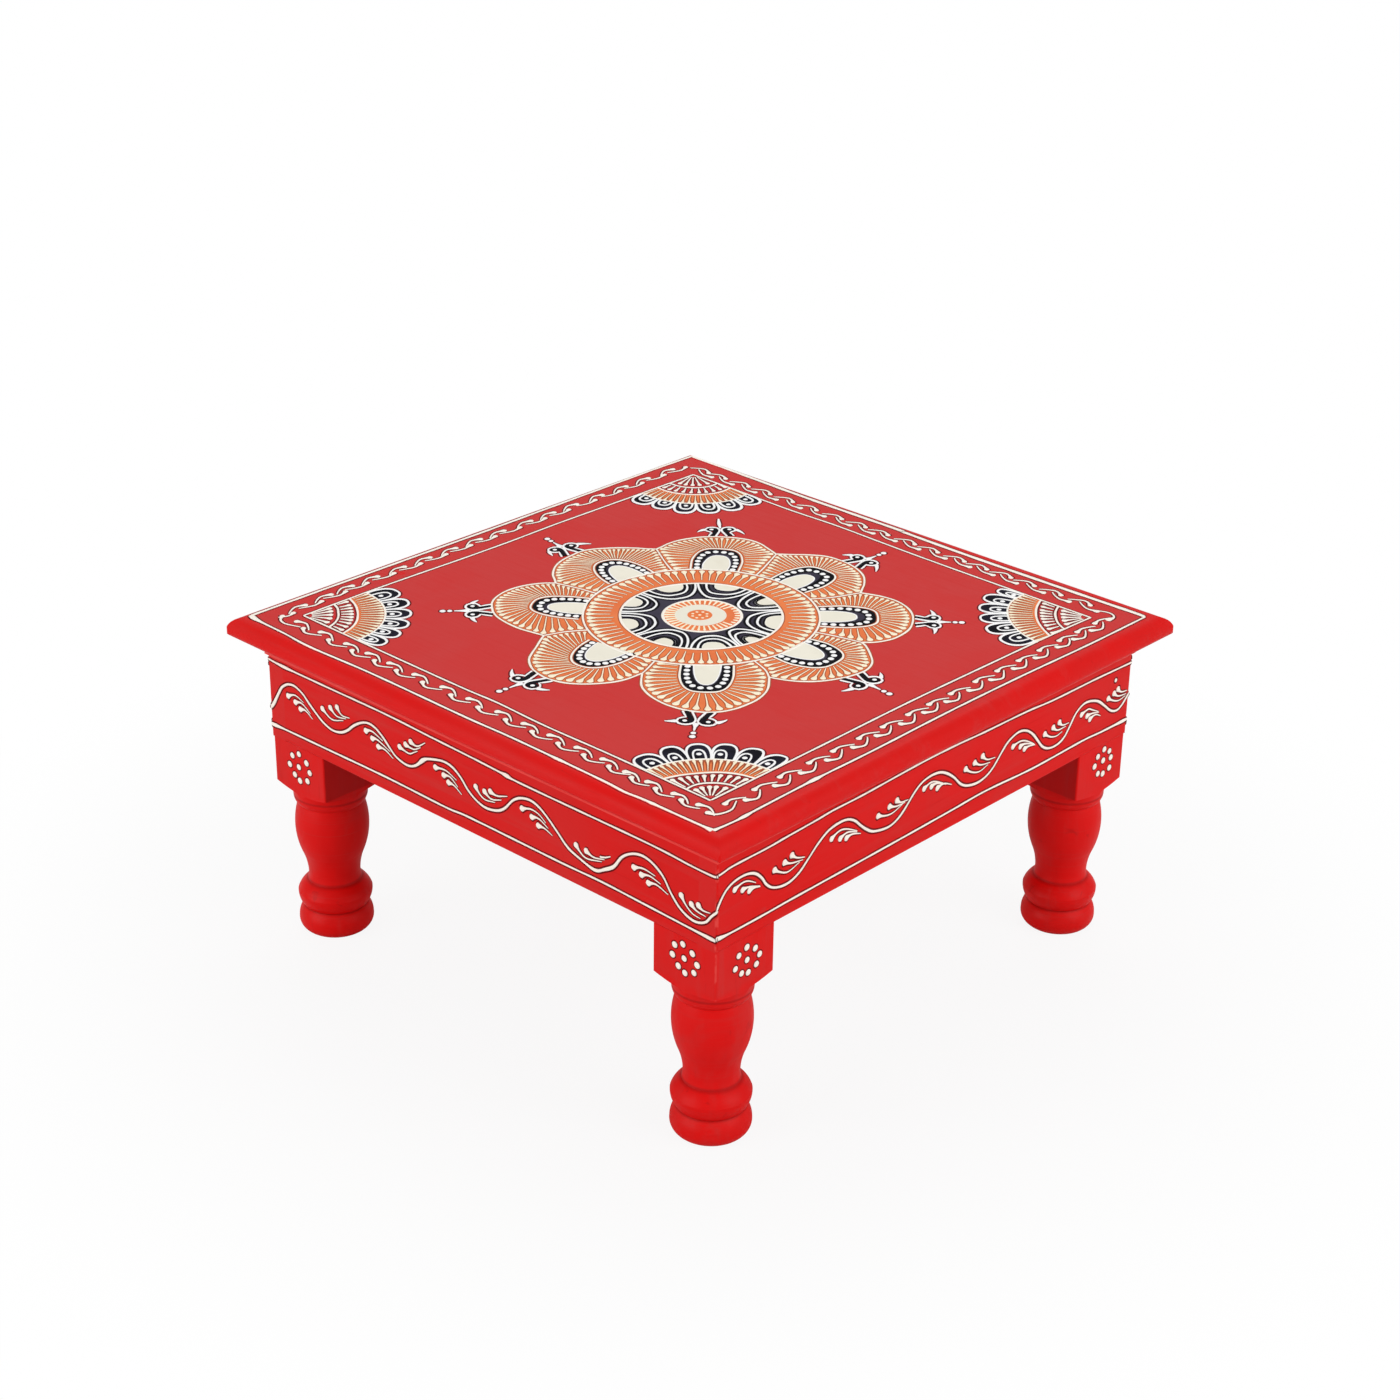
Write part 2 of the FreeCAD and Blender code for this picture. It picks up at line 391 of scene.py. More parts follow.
# Each bow's outer line, second line and cream tongue: first and last angle, middle, lowest radius
BOWS = (
    ((9.6, 52.6, 32, 21.1), (15.5, 48.8, 33, 25.7), (19, 43.7, 33.6, 29.2)),
    ((54.8, 91.4, 68, 19.4), (60.5, 84.6, 70.8, 23.7), (62.8, 79.5, 71.4, 28)),
    ((94.2, 136.3, 118, 20.1), (99, 130, 118, 25.4), (104.2, 123.6, 116, 30)),
    ((138.2, 181.4, 159, 21.3), (144.8, 175.4, 160, 25.8), (147.8, 169.2, 158.4, 29.1)),
    ((184.1, 218.4, 202, 23.1), (188.4, 213, 201, 27.6), (192, 208.8, 201, 30)),
    ((221.4, 260.2, 237, 22.3), (226.2, 255, 238, 26.6), (231.6, 250.8, 240, 30.4)),
    ((262.5, 302.2, 282, 21), (269, 297.6, 281, 24.8), (275.4, 293.4, 282, 29.4)),
    ((305.4, 338.6, 322, 23.1), (310.2, 334.2, 322, 26.5), (313.2, 330.4, 321, 30)),
    ((340.6, 368.2, 352.8, 21.1), (342.8, 364, 353, 25.5), (346.8, 360.2, 352.5, 30.2)))
for outer, second, tongue in BOWS:
    line(bows, TOP, bow(*outer), 0.66, 0.44)
    line(bows, TOP, bow(*second), 0.62, 0.42)
    edge = [polar(MIDDLE, RIM, a) for a in np.linspace(tongue[0], tongue[1], 7)[1:-1]]
    film(cream, bow(*tongue) + edge[::-1], CREAM)
    line(bows, TOP, bow(*tongue), 0.3, 0.24)

line(mandala, TOP, circle((-1.4, 1.1), 17.9), 0.74, 0.44, closed=True)
line(mandala, TOP, circle(HUB, RIM), 0.66, 0.44, closed=True)
line(mandala, TOP, circle(HUB, RING, count=60), 0.55, 0.44, closed=True)
for k in range(INNER_RAYS):
    a = 80.5 + k * 9.474
    if 5 < a % 360 < 72:
        drop(rays, TOP, spoke(MIDDLE, (17.4, a), (16.2, a), (14.8, a)), 0.75, 0.6, 0.4)
    else:
        wide = 0.12 if 185 < a % 360 < 262 else 0
        drop(rays, TOP, spoke(MIDDLE, (17.3, a), (15, a), (11.9, a)),
             0.74 + wide, 0.56 + wide, 0.46 + wide)
for k in range(RING_RAYS):
    a = k * 360 / RING_RAYS + 0.3 + draw.uniform(-0.35, 0.35)
    head, tail = 52.3 + draw.uniform(-0.3, 0.3), 40.3 + draw.uniform(-1.0, 1.0)
    drop(rays, TOP, spoke(HUB, (head, a), (46, a + 0.2), (tail, a + 0.1)), 1.5, 0.42, 0.24)
# The flower of dots at the centre
FLOWER = (-2.5, 0.7)
film(orange, circle(FLOWER, 5.7, count=24), TOPMOST)
dot(centre_dots, TOP, FLOWER, 0.85, 0.5)
for k in range(8):
    dot(centre_dots, TOP, polar(FLOWER, 3.5, k * 45 + 20), 0.8, 0.5)

# Petals
# Each petal's edge from one junction to the next, as pairs of angle and radius about the hub
PETALS = (
    (337.4, 71.6, 341, 76.7, 345, 81.5, 350, 85.8, 355, 88.6, 360, 90.7, 365, 91.5, 370, 89.4, 375, 84.4,
     380, 79.3, 382, 76.3),
    (22, 76.3, 23.7, 81.9, 26.7, 87.1, 30, 90.6, 35, 94.1, 40, 95.6, 45, 96.1, 50, 95, 55, 91.9, 59, 87.1,
     61.7, 82.6, 64, 78.8),
    (64, 78.8, 67, 81.7, 70, 85, 75, 89.6, 80, 92.3, 85, 93.7, 90, 93.7, 94, 92.6, 98.3, 89, 101.7, 85.8,
     105, 83.2, 107.3, 81.7),
    (107.3, 81.7, 110, 84.6, 113, 88.3, 115, 90.8, 118.3, 93.4, 122.5, 94.7, 127.7, 94.9, 131.7, 94.3,
     135, 93.1, 140, 90.1, 143.7, 86.7, 146.3, 83.4, 148.7, 80.9),
    (148.7, 80.9, 151.7, 82.4, 155, 85, 160, 88.5, 165, 91.6, 169, 93.5, 172, 93.5, 175, 92.6, 180, 91,
     185, 87.9, 190, 83.2, 193.3, 79, 195.8, 76.3),
    (195.8, 76.3, 198, 81.7, 201.7, 87.6, 205.7, 92, 210, 95, 215, 96.5, 220, 95.5, 225, 93.1, 230, 88.6,
     235, 83.2, 239, 78, 242.3, 74.3),
    (242.3, 74.3, 245, 76.7, 250, 81.7, 253.7, 86.5, 257, 90.6, 261.7, 94.1, 266, 95.6, 270, 95.8, 275,
     93.7, 280, 88.9, 285, 82.2, 288.3, 75.8, 291, 67.6),
    (291, 67.6, 293, 74.9, 295, 81, 298.3, 87.1, 301.7, 91.9, 305, 95.7, 309, 98.9, 312, 100.3, 315,
     100.9, 318.3, 100.3, 321.7, 98.1, 325, 94.8, 328.3, 91.1, 331.7, 85.8, 334.3, 80.1, 337.4, 71.6))
# The angles of the junction lines at the ring, and halfway out at this radius
HALFWAY = 64
FEET = ((24.7, 23.6), (65, 63.5), (104.8, 105.7), (148.2, 148.8), (197.3, 196), (242.5, 241.4),
        (291, 291.2), (338.7, 338.9))
# How many drops each petal has
RAYS = (31, 34, 37, 36, 41, 37, 31, 29)
TONGUES = (  # base; axis, length, half-width, foot, power of the outline; the same of the tongue
    ((50.6, 3.3), (4.5, 24.6, 14.2, 12.8, 2.8), (4.4, 17, 8.0, 8.2, 2.1)),
    ((36.8, 37.7), (43.3, 26.9, 12.4, 11.1, 3.3), (43.4, 17.3, 6.3, 6.0, 2.7)),
    ((3.2, 54), (88.7, 26.5, 12.5, 11, 3.3), (89.5, 16.8, 6.1, 5.4, 2.6)),
    ((-33.3, 43.3), (126.3, 27, 12.2, 11.3, 3.3), (124.6, 18.5, 6.5, 5.7, 2.7)),
    ((-54.1, 9.2), (166.6, 25.1, 12.8, 12.4, 2.3), (165, 17, 7.2, 7.4, 2.1)),
    ((-44.2, -31), (210.8, 25.3, 12.3, 12, 2.8), (215.5, 17.4, 6.3, 6, 2.4)),
    ((-5.5, -51.6), (278.7, 24.6, 13.4, 13.4, 2.2), (278.2, 17.6, 8.4, 8.6, 2.0)),
    ((36.6, -35.9), (310.7, 28, 11.9, 11.5, 3.1), (311.1, 20.8, 5.9, 6.1, 2.3)))


def at_share(path, share):
    run = along(path)
    return np.array([np.interp(share * run[-1], run, path[:, k]) for k in (0, 1)])


def spaced(path, count):
    """Shares along a petal's edge for its drops, wider apart on the side towards the front corner."""
    run = along(path)
    slope = np.gradient(path, run, axis=0)
    slope /= np.linalg.norm(slope, axis=1, keepdims=True)
    gap = 1 + 0.27 * (slope @ ACROSS)
    gone = np.concatenate([[0], np.cumsum(np.diff(run) * 2 / (gap[1:] + gap[:-1]))])
    places = np.interp((np.arange(count) + 0.55) / (count + 0.1) * gone[-1], gone, run)
    return places / run[-1], np.interp(places, run, gap) * gone[-1] / count


for index in range(8):
    arc = [polar(HUB, radius, a) for a, radius in pairs(PETALS[index])]
    (foot_before, half_before), (foot_after, half_after) = FEET[index - 1], FEET[index]
    span = [polar(HUB, RING, a) for a in np.linspace(
        foot_after, foot_before - (360 if foot_before > foot_after else 0), 9)]
    rise = spoke(HUB, (RING, foot_before), (HALFWAY, half_before))
    fall = spoke(HUB, (HALFWAY, half_after), (RING, foot_after))
    line(petals, TOP, arc, 0.52, 0.45)
    line(petals, TOP, [arc[-1]] + fall, 0.46, 0.42)
    # Orange ground, down to the ring
    film(orange, [rise[1]] + arc + [fall[0]] + span, GROUND)
    base, (axis, length, half, foot, power), (t_axis, t_length, t_half, t_foot, t_power) = TONGUES[index]
    outline = u_shape(base, axis, length, half, foot, power)
    line(petals, TOP, outline, 0.52, 0.44)
    film(black, outline, NAVY)
    inner = u_shape(base, t_axis, t_length, t_half, t_foot, t_power)
    film(navy, u_shape(base, t_axis, length - 5.9, t_half + 0.8, t_foot + 0.5, t_power), OVER_NAVY)
    film(cream, inner, CREAM)
    line(tongues, TOP, inner, 0.4, 0.32)
    beads = smooth_path(u_shape(base, axis, length - 4.1, half - 3.0, foot - 3.0, power))
    for k in range(BEADS):
        dot(tongues, TOP, at_share(beads, 0.04 + 0.92 * k / (BEADS - 1)), 1.45, 0.6)
    # Drops from the edge towards the tongue, closer set on some petals
    edge = smooth_path(rise + arc + fall)
    goal = smooth_path(u_shape(base, axis, length + 1.3, half + 1.3, foot + 1.3, power))
    for share, gap in zip(*spaced(edge, RAYS[index])):
        turn = 2 * share - 1
        a = at_share(edge, share)
        b = at_share(goal, 0.5 + turn * (0.375 + 0.125 * abs(turn) ** 3))
        way = (b - a) / np.linalg.norm(b - a)
        top = a + way * (1.5 + draw.uniform(-0.2, 0.25))
        bow_out = np.array([-way[1], way[0]]) * draw.uniform(-0.25, 0.25)
        drop(petal_rays, TOP, [top, (top + b) / 2 + bow_out, b], min(max(0.31 * gap, 0.88), 1.6),
             0.28 + 0.03 * gap, 0.25, neck=1.3)

# Fleurs at the petals' tips
FLEURS = (  # origin, axis, length to the last dot, then its left and right wings' tips
    ((89, -0.3), -6, 22.9, (5, 11.8), (8, 13.8)), ((71.5, 65), 40.6, 20.4, (7.5, 14.3), (8.5, 14.8)),
    ((8, 94.7), 86, 21.5, (5.4, 12), (2.6, 14)), ((-60.5, 77.5), 136, 20.4, (5.4, 12.6), (2, 12.6)),
    ((-95.3, 11), 169.6, 22, (3.2, 9.8), (5.2, 14.4)), ((-73.5, -62), 228, 22, (7, 13.4), (6, 11.8)),
    ((-6.2, -95), 265.5, 23, (6, 12.8), (5, 13.5)), ((66.5, -73), 306.4, 23.2, (5.4, 12.2), (10, 13)))
CURL = (8.8, 4.8)
LEAF = ((-0.6, 5.0), (3.5, 3.7), (6.6, 2.5), (9.0, 2.5), (10.2, 3.6))
LEAF_OUT = ((-0.7, 3.0), (3.0, 1.8), (6.3, 0.7), (9.0, 0.6), (11.2, 1.9), (12.1, 4.4), (11.4, 6.9),
            (9.4, 8.1))
LEAF_IN = ((-0.4, 6.8), (3.0, 5.6), (5.0, 4.6), (5.6, 5.9), (7.0, 7.7), (9.4, 8.1))
for number, (origin, axis, length, *wings) in enumerate(FLEURS):
    out, left = axes(axis)
    grow = length / 22.5

    def spot(s, t):
        return np.asarray(origin) + out * s * grow + left * t * grow

    for side, (tip_s, tip_t) in zip((1, -1), wings):
        path = smooth_path([spot(s, t * side) for s, t in LEAF])
        s = np.linspace(0, along(path)[-1], 14)
        ribbon(leaves, TOP, path, s, np.linspace(1.15, 1.4, 14), np.full_like(s, 0.3))
        dot(leaves, TOP, spot(CURL[0], CURL[1] * side), 2.5, 0.3)
        line(fleurs, TOP, [spot(s, t * side) for s, t in LEAF_OUT], 0.52, 0.5)
        line(fleurs, TOP, [spot(s, t * side) for s, t in LEAF_IN], 0.48, 0.5)
        dot(fleurs, TOP, spot(CURL[0], CURL[1] * side), 1.12, 0.6)
        drop(fleurs, TOP, [spot(9.2, 7.8 * side), spot(0.5 * (9.8 + tip_s), (4.2 + 0.5 * tip_t) * side),
                           spot(tip_s, tip_t * side)], 1.1, 1.0, 0.22)
    if number == 3:
        line(fleurs, TOP, [spot(10.5, 0), spot(17.6, 0.3), spot(24.2, 0.2)], 0.5, 0.45,
             swells=((6, 0.5, 3.5),))
    else:
        drop(fleurs, TOP, [spot(10.2, 0), spot(13.5, 0), spot(17.4, 0)], 1.35, 0.75, 0.36)
        dot(fleurs, TOP, spot(19.4, 0), 1.2, 0.5)
        dot(fleurs, TOP, spot(22.7, 0), 1.42, 0.55)

# Corner fans
FANS = (
    # Apex, first angle, the three arcs' radii every 15 degrees, then each lobe: its first angle, the
    # angle and radius of its tip, the angle and tip of its inner arch, and its dot's radius. Last,
    # the angles of the strokes next to the apex
    ((124.0, -127.5), 90, (
        (15.6, 15.1, 14.7, 14.4, 14.2, 13.7, 13.0), (26, 25.1, 24.3, 23.5, 23.3, 24.2, 25.8),
        (35.8, 35.7, 35.5, 35.4, 35.5, 35.7, 36)), (
        (90.3, 94.8, 49.0, 97, 43.2, 39.3), (103.5, 109.5, 49.0, 112.3, 43.4, 39.4),
        (117.8, 125, 49.4, 127.3, 43.8, 40), (132.5, 139.5, 49.2, 139.8, 44, 40.1),
        (147, 153.5, 49.0, 154.8, 42.8, 39), (161.3, 170, 47.2, 170.3, 43.2, 39), (179.5,)),
     (102, 121, 135, 152, 168)),
    ((-128.7, -126), 0, (
        (17.6, 16.6, 15.9, 15.5, 15.6, 16.6, 17.8), (27.3, 26.1, 25, 24.2, 24.3, 25.3, 27),
        (37.6, 37.2, 36.9, 36.6, 36.6, 36.7, 36.9)), (
        (0.6, 6, 49.2, 6.2, 44.8, 41.3), (12.8, 18.5, 49.2, 19.3, 44.2, 40.6),
        (25.8, 32.5, 48.6, 32.3, 44.2, 40.4), (40.2, 48, 48.0, 47.6, 43.6, 39.6),
        (55.6, 64, 48.4, 63.6, 43.6, 39.7), (71.2, 79.3, 48.8, 79.3, 44.6, 39.9), (89.4,)),
     (12, 31, 50, 68, 82)),
    ((124.7, 124), 180, (
        (17.4, 16.1, 15.5, 15.3, 15.9, 17, 18.7), (27.5, 25.4, 24.3, 24.1, 24.8, 26.4, 29.5),
        (37.2, 37.6, 37.2, 36.9, 37, 37.8, 39)), (
        (180.6, 184.5, 48.8, 185.6, 44.2, 40.2), (190, 197, 50.6, 199, 45.5, 41.4),
        (204.2, 211.5, 50, 212.7, 45, 41), (219, 226, 49.7, 226.7, 45, 40.9),
        (233.6, 242, 50.3, 241.5, 45.1, 40.9), (249.2, 257, 50.4, 257.5, 46, 41.5), (267.5,)),
     (190, 207, 225, 242, 258)),
    ((-127, 128), 270, (
        (17.3, 17.8, 18.3, 18.5, 18.4, 17.9, 17), (26.2, 27.2, 27.8, 28.1, 28, 27.4, 26),
        (37.6, 38.9, 39.8, 40.4, 40.4, 39.8, 37.8)), (
        (270.6, 280, 49.2, 278.7, 44.8, 41.2), (286.6, 294, 50.4, 293.6, 45.6, 42),
        (301.2, 308, 53, 308.6, 48, 43.5), (315.3, 323, 53.2, 323, 48.8, 44.8),
        (329.6, 337, 52.6, 336.5, 48.4, 44.6), (344.2, 352, 50.8, 351, 47.2, 42.8), (358.8,)),
     (285, 298, 312, 326, 344)))
for apex, first, arcs, lobes, hub_strokes in FANS:
    bold = 1.25 if first == 270 else 1.0
    angles = first + 15.0 * np.arange(7)
    low, middle, high = arcs
    for radii in arcs:
        line(fans, TOP, spoke(apex, *zip(radii, angles)), 0.52, 0.42)
    round_in = smooth_path(spoke(apex, *zip(middle, angles)))
    round_out = smooth_path(spoke(apex, *zip(high, angles)))
    film(orange, np.concatenate([round_out, round_in[::-1]]), ORANGE)
    for a in hub_strokes:
        head = np.interp(a, angles, low) - 2.4
        drop(fans, TOP, spoke(apex, (head, a), (0.6 * head + 1.2, a), (3.6, a)), 1.15, 0.5, 0.28)
    for k in range(FAN_STROKES):
        a = first + 4.2 + 81.6 * k / (FAN_STROKES - 1) + draw.uniform(-0.6, 0.6)
        top, foot = np.interp(a, angles, middle) - 1.8, np.interp(a, angles, low) + 1.1
        drop(fans, TOP, spoke(apex, (top, a), (0.6 * top + 0.4 * foot, a + 0.7), (foot, a + 1.2)),
             1.05, 0.55, 0.32)
    for k in range(FAN_RAYS):
        a = first + 2.4 + 85.2 * k / (FAN_RAYS - 1)
        top, foot = np.interp(a, angles, high) - 0.5, np.interp(a, angles, middle) + 1.3
        drop(fan_rays, TOP, spoke(apex, (top, a), (0.6 * top + 0.4 * foot, a), (foot, a + 0.4)),
             0.85, 0.42, 0.2, neck=1.6)
    for lobe, after in zip(lobes, lobes[1:]):
        start, tip, tall, arch, arch_tall, dot_at = lobe
        base = np.interp(arch, angles, high)
        outline = bow(start, after[0], tip, tall, 2.5, centre=apex, rim=base)
        line(lobe_lines, TOP, outline, 0.6 * bold, 0.44, step=0.9)
        film(midnight, outline, NAVY)
        wide = (0.27 if bold == 1 else 0.3) * (after[0] - start)
        inner = bow(arch - wide, arch + wide, arch, arch_tall, 2.5, centre=apex, rim=base)
        line(lobe_lines, TOP, inner, 0.5 * bold, 0.4, step=0.9)
        dot(lobe_lines, TOP, polar(apex, dot_at, arch), 1.2, 0.55)

# Border lines on the top
INNER_LINES = (
    (-129, -126, -60, -126.7, -20, -126.9, 0, -126.4, 30, -127.6, 70, -127.3, 124.6, -128),
    (124.4, -127.6, 123.8, -60, 123.1, 0, 123.7, 60, 124.3, 100, 125.3, 124.6),
    (125, 124.3, 75, 124.5, 30, 125.1, 0, 126, -30, 127.1, -60, 126.5, -100, 127.6, -127.2, 128),
    (-127, 128, -127.3, 100, -127.7, 60, -128, 30, -127.5, 0, -127.8, -30, -128.7, -60, -129.2, -90, -129,
     -126))
for points in INNER_LINES:
    line(borders, TOP, pairs(points), 0.46, 0.45, step=2.6)
OUTER_LINES = (
    ((-146, -142.6, -140, -143.8, -120, -144.5, -100, -145.7, -60, -144.7, 0, -145.2, 30, -144.8, 80,
      -145.6, 95, -146.4, 105, -145.8, 125, -145.7, 142, -145.5),
     0.5, ((2.5, 0.9, 5), (202, 0.25, 3), (256, 0.25, 1.5), (287.3, 0.6, 1.8))),
    ((142.2, -145.5, 142.8, -139, 143.1, -131, 142.6, -120, 141.8, -85, 141.8, -50, 141, 0, 141.2, 50,
      142.4, 100, 142.5, 142.5),
     0.5, ((60, 0.6, 3), (17.5, 0.5, 2.6), (0.7, 0.4, 1.5))),
    ((142.5, 142.5, 136, 142.9, 100, 142.6, 40, 142.8, 0, 143.9, -5, 144.5, -60, 144.7, -96, 145.7, -120,
      146.6, -146, 147.2),
     1, ()),
    ((-146.2, 147, -146.7, 120, -146.4, 80, -146, 40, -145.6, 0, -145.8, -60, -145.8, -142.6),
     0.72, ()))
for points, half, swells in OUTER_LINES:
    line(borders, TOP, pairs(points), half, 0.45, swells=swells, step=2.6)

# Chain of commas
# For each side: heads along it, then how far out the head, crest and tail lie
CHAIN = (
    (((-118.5, -101, -85, -70, -55.5, -38.5, -20.5, -3.5, 13.5, 29.5, 45, 60, 74.5, 88, 101.5,
       115.5), (134.7, 137.4, 134.2)),
     ((-126.5, -110, -92.5, -78, -63.5, -47, -29, -12.5, 5.5, 21.5, 37, 53, 68, 82.5, 95, 109.5,
       123), (132.5, 131.0, 134.7))),
    (((-118.2, -101, -85.4, -69.3, -53, -37.9, -22.2, -6.9, 8, 23.7, 38.9, 55, 70.7, 86.9, 98.9,
       112.3), (133.7, 136.4, 132.0)),
     ((-126.5, -109.4, -94.2, -76.6, -61.7, -45.2, -30, -13.4, 0.6, 15.3, 32.4, 47.7, 62.9, 78.1,
       92.9, 106.3, 119.7), (130.7, 129.8, 132.7))),
    (((-117.3, -100.7, -85.4, -71.6, -57.3, -43.9, -27.7, -13.4, 3.3, 17.6, 32.9, 49.5, 65.2,
       80.4, 95.2, 110.9, 122.9), (135.2, 137.8, 134.0)),
     ((-123.7, -108, -93.3, -77.6, -63.8, -49.9, -35.1, -18.9, -4.2, 9.8, 24.6, 41.2, 56.9, 73,
       87.4, 103, 117.4), (132.2, 131.6, 135.6))),
    (((-126.6, -108.6, -92.4, -75.4, -57.4, -41.7, -26, -8, 7.5, 23.5, 40, 56, 72.5, 88, 101.5,
       117.5), (139.5, 141.2, 137.2)),
     ((-133.5, -117.8, -101.7, -85.5, -68, -49.5, -33.3, -16.3, 0, 16, 32, 48, 64.5, 81, 94.5,
       109.5, 127), (137.5, 136.1, 138.4))))
# How far a stroke runs along its side: in row 0, in each side's row 1, and past 120 on some sides
RUN, BACK_RUN, LAST_RUN = 12, (11.8, 11.6, 12.8, 12.8), {0: 11.4, 1: 9.2, 3: 8.5}
for quarter, rows in enumerate(CHAIN):
    for row, (heads, (head, crest, tail)) in enumerate(rows):
        for place in heads:
            # The front side's last strokes bend towards the corner
            bent = quarter == 0 and place > 78
            shift = max(place - 85, 0) * 0.065 if quarter == 3 else 0
            if bent:
                shift = (-0.7, -1.6)[row]
            end = tail + 0.9 if bent and row == 0 else tail
            run = RUN if row == 0 else BACK_RUN[quarter]
            if bent or (quarter == 1 and place < -110):
                run -= 1.1
            if place > 120:
                run = LAST_RUN.get(quarter, run)
            near, far = 0.28 * head + 0.72 * crest, 0.45 * end + 0.55 * crest
            waver = draw.uniform(-0.25, 0.25, 2)
            local = np.array([(place, -head), (place + 0.22 * run, -near - waver[0]),
                              (place + 0.46 * run, -crest - waver[0]),
                              (place + 0.76 * run, -far), (place + run + waver[1], -end)])
            local[:, 1] += shift
            drop(chain, TOP, turned(local, quarter), 1.28, 0.58, 0.3, back=0.8)
for points in (((-136, -132), (-133, -136), (-128, -137.5), (-120, -135)),
               ((129.5, -136.3), (134, -135), (135.6, -128), (132, -121)),
               ((132.2, 126.7), (133.1, 130.6), (131.4, 133.6), (127.5, 134.6), (120.6, 132))):
    drop(chain, TOP, points, 1.3, 0.55, 0.3)

# Aprons
FRONT_LINES = (
    (-139.9, -20.6, -128, -21.2, -100, -21.2, -60, -21, -30, -21.8, 0, -22.6, 18, -23.3, 30, -23.9, 100,
     -23.9, 125, -24.9, 137, -25, 139.9, -24.3),
    (-139.9, -53.5, -130, -53.2, -100, -52.8, -60, -52.3, -20, -52.8, -5, -52.1, 50, -52.3, 75, -52, 100,
     -52.7, 137, -53.7, 139.9, -53))
RIGHT_LINES = (
    (-139.9, -24.2, -136, -23.8, -130, -23, -110, -22.8, -100, -22.3, -80, -21.5, -70, -20.9, -50, -20.8,
     -15, -19.7, 10, -19.7, 30, -20.4, 60, -20.9, 80, -22, 110, -22.3, 125, -22.7, 139.9, -23.1),
    (-139.9, -52.6, -137, -53, -130, -53.2, -110, -53, -95, -52.6, -50, -52, -20, -51.5, 10, -50.9, 33,
     -50.3, 60, -51.4, 75, -51.6, 105, -51.1, 120, -51.7, 139.9, -52))
FRONT_VINE = (
    -139.9, -45.5, -137.6, -42.9, -135, -38.8, -132.7, -35, -130.8, -32.3, -128.5, -30.4, -125.8, -29,
    -121.5, -28.4, -116, -30.3, -112, -33.4, -107, -37, -102, -40, -96, -41.7, -90, -40.8, -85, -38, -81,
    -34.5, -76, -31.3, -71, -29.6, -66, -30.2, -61, -33, -56, -37.2, -52, -39.9, -45, -41.2, -39.5, -39.3,
    -34, -34.5, -29, -32.5, -21, -30.8, -15, -31.8, -10, -35, -6, -39, -1, -42, 5, -43.5, 12, -42.3, 17,
    -39.3, 22, -33.8, 27, -30.8, 33, -29.7, 38, -31, 43, -34, 49, -38.7, 55, -43.5, 62, -46, 71, -48, 77,
    -45.3, 82, -42, 86, -36.5, 90, -33.3, 95, -31.2, 100, -30.9, 105, -32.5, 110, -36, 114.5, -42, 120,
    -47, 127, -49.3, 133, -47.5, 136.5, -43.3, 139.9, -39.9)
RIGHT_VINE = (
    -139.9, -40.2, -136.5, -35, -133, -31.8, -128, -30.1, -122, -30, -117, -31.7, -113, -35.3, -110.5,
    -39, -107, -42, -102, -43.8, -96, -44, -90, -41.8, -84.5, -37.5, -79, -33, -73, -29.5, -67, -28.3,
    -61, -28.6, -56, -31, -52, -34.7, -48, -38.1, -43, -41, -34, -42.6, -28, -41.3, -23, -38, -17, -32.5,
    -12, -29.5, -6, -28.4, 0, -29, 5, -31.3, 10, -35, 15, -40, 20, -42.7, 27, -43.9, 33, -43, 38, -40.3,
    43, -35.5, 48, -31.3, 55, -29.2, 61, -30.5, 66, -34, 70, -38.5, 74, -43, 79, -45.6, 85, -46, 90,
    -44.3, 94, -40, 98, -35, 103, -32.3, 108, -32.2, 115, -34.5, 121, -39, 126, -43, 131, -44.5, 135,
    -42.8, 139.9, -38.3)
FRONT_DROPS = (
    (-127, -35.3, -121.5, -33, -115.5, -34.7), (-122, -36.7, -117, -35.5, -111, -38.7),
    (-118.6, -39, -114.5, -38.3, -109.5, -41), (-102.7, -32.8, -96, -36.3, -87.8, -34.2),
    (-97, -30.3, -92.5, -33.5, -85.8, -32.7), (-92.2, -28.4, -89, -31.8, -83.3, -31.5),
    (-73, -34.2, -68.5, -32.7, -61, -35), (-68.8, -36.5, -65, -35.6, -56.5, -38.5),
    (-65, -39, -60, -38.8, -54.5, -41.3), (-50.5, -33.7, -44, -35, -40.5, -33.3, -38, -31.8),
    (-46.5, -31.2, -41, -31.9, -37.5, -30.3, -36, -29.3), (-43, -28.5, -38.5, -29.6, -32.8, -26),
    (-27.3, -35.7, -20, -34.7, -13, -37), (-22, -37.7, -17.5, -36.8, -12.3, -40),
    (-19, -40, -15, -40, -10, -42.8), (-1.3, -35, 0.5, -37.5, 4.5, -39.7, 11, -38.8),
    (4, -35.5, 8.5, -38, 15, -36.2), (7.6, -34.3, 12, -35.2, 18.8, -33),
    (27, -35.7, 33, -33.8, 38, -34.5, 42, -37), (33, -37.5, 37.5, -36.5, 43.5, -39),
    (36.8, -40, 41, -39.8, 46, -41.5), (59.5, -40, 62.5, -43, 66.5, -44.4, 75, -42.5),
    (65.3, -40.7, 70, -42.3, 76.5, -41), (92.7, -38.2, 98.5, -36.5, 105.5, -37.3),
    (97, -40, 102, -38.5, 108.5, -39.8), (101, -42.2, 106, -41, 112.7, -43),
    (119.5, -39.8, 122, -43.3, 126, -46.2, 130.5, -46.8), (125, -41.7, 128, -44, 133.5, -44.7),
    (128.8, -40.7, 131.5, -42.5, 135.8, -42.2))
